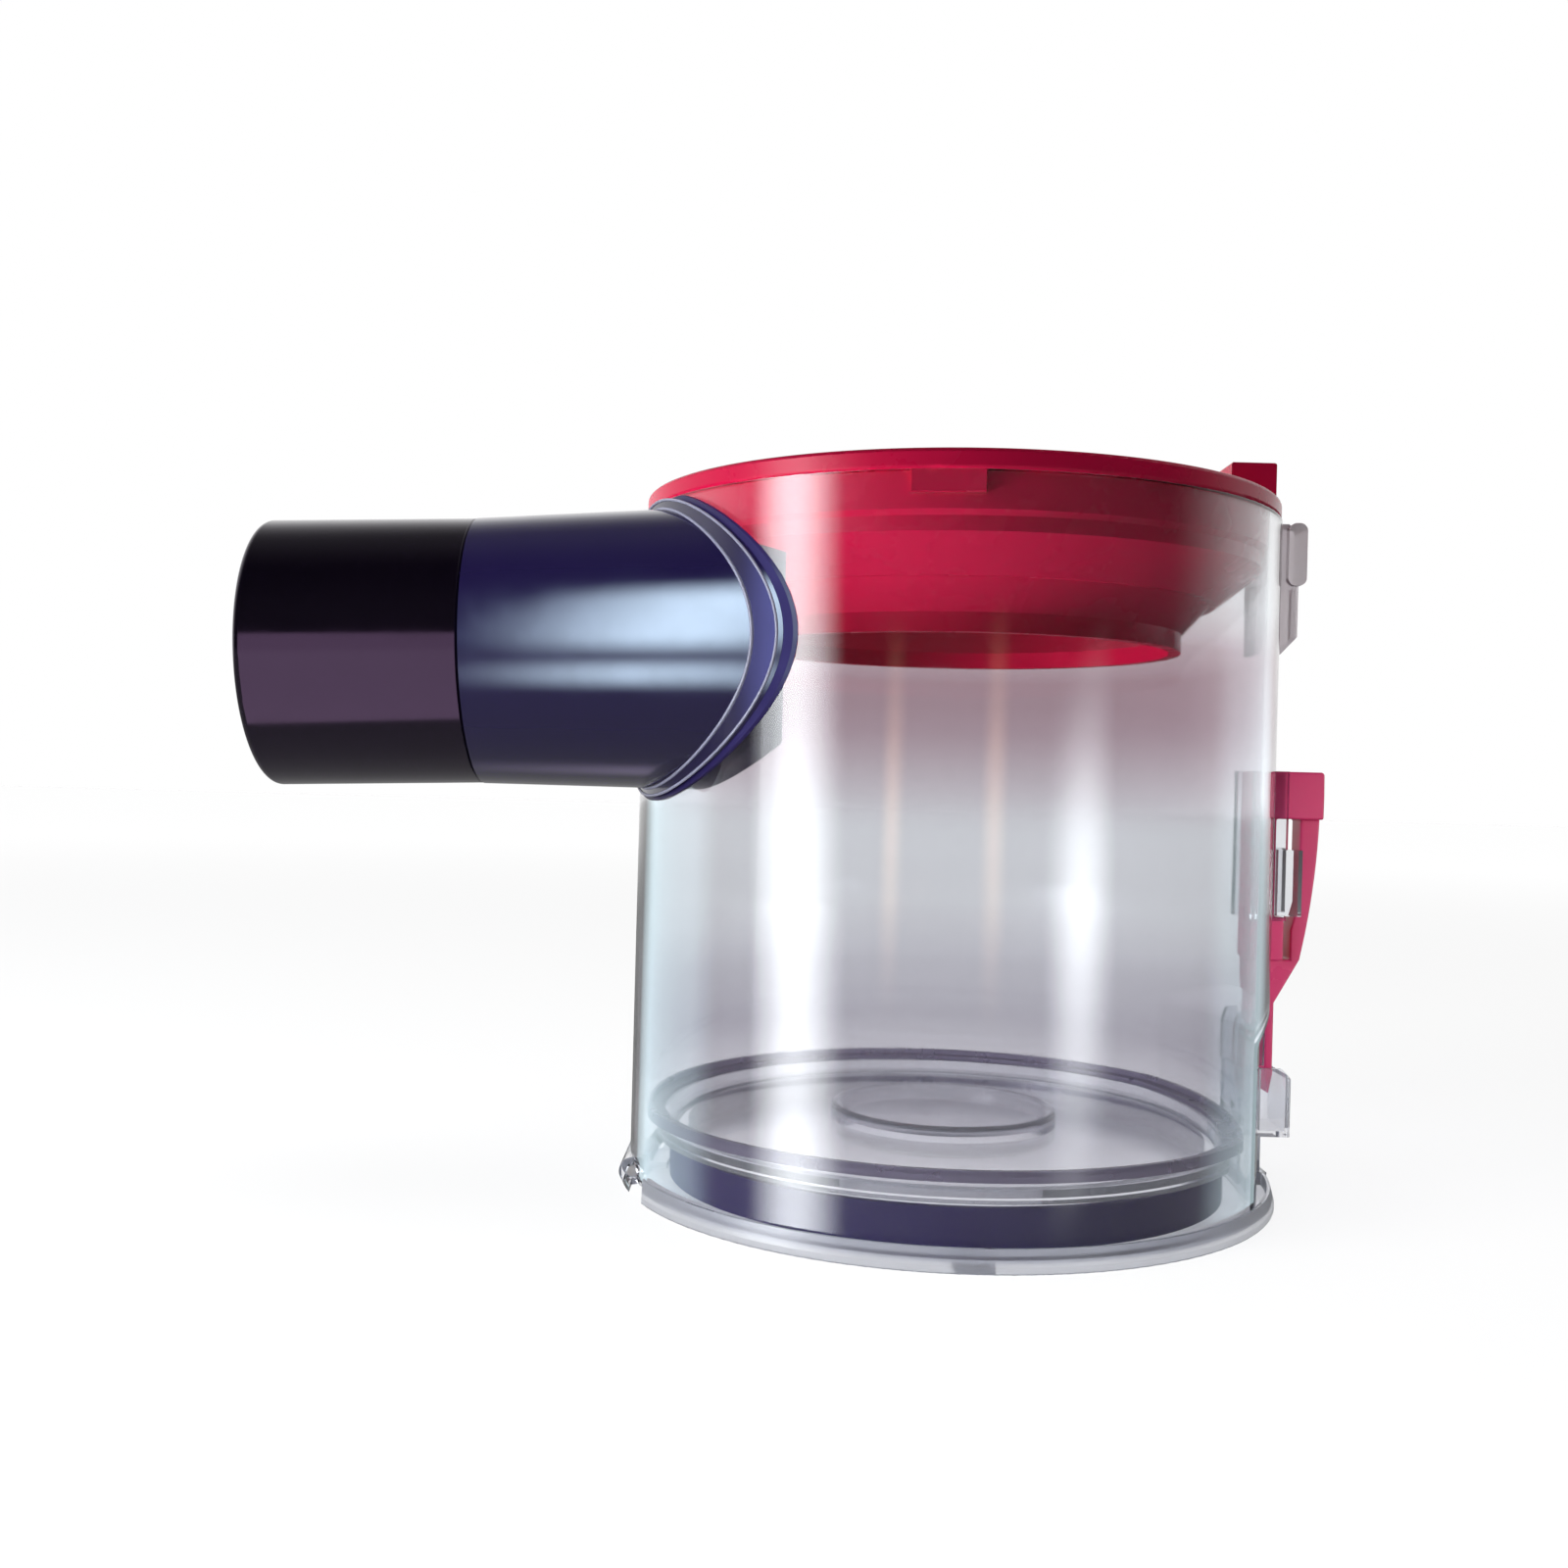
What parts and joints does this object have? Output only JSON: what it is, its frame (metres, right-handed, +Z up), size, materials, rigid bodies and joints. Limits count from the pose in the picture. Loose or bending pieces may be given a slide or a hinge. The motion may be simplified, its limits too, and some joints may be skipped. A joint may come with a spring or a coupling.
{
  "type": "cyclone dust bin",
  "caption": "Clear drum of a cyclone vacuum cleaner with a red cyclone ring, a side inlet duct with a wand socket, a hinged bottom lid with seals and a sliding lid release.",
  "frame": {"origin": "on the drum's axis, in the plane that the closed lid stands on", "axes": "+Z up along the drum's axis, -X out of the inlet, +X to the rear with the release slide"},
  "size_m": [0.1778, 0.112, 0.1258],
  "materials": {
    "clear_plastic": "clear, polished, slightly cool",
    "red_plastic": "crimson, semi-gloss moulded",
    "aubergine_plastic": "dark aubergine, high gloss",
    "dark_plastic": "purple black, satin gloss",
    "seal_rubber": "dark, smooth",
    "grey_clear_plastic": "greyish, translucent",
    "pin_steel": "bright drawn wire"
  },
  "bodies": {
    "bin": {"bin_body": "clear_plastic", "cyclone_ring": "red_plastic", "inlet_duct": "aubergine_plastic", "inlet_gasket": "seal_rubber", "inlet_sleeve": "dark_plastic", "rear_hook": "grey_clear_plastic", "hinge_pin": "pin_steel"},
    "lid": {"lid": "clear_plastic", "lid_band_seal": "seal_rubber", "lid_lip_seal": "seal_rubber"},
    "slide": {"release_slide": "red_plastic"}
  },
  "joints": [
    {"name": "lid_hinge", "type": "hinge", "parent": "bin", "child": "lid", "pos_m": [-0.0532, 0, 0.0025], "axis": [0, 1, 0], "range_deg": [0, 90]},
    {"name": "release_slide", "type": "slide", "parent": "bin", "child": "slide", "axis": [0, 0, -1], "range_m": [0, 0.005]}
  ]
}
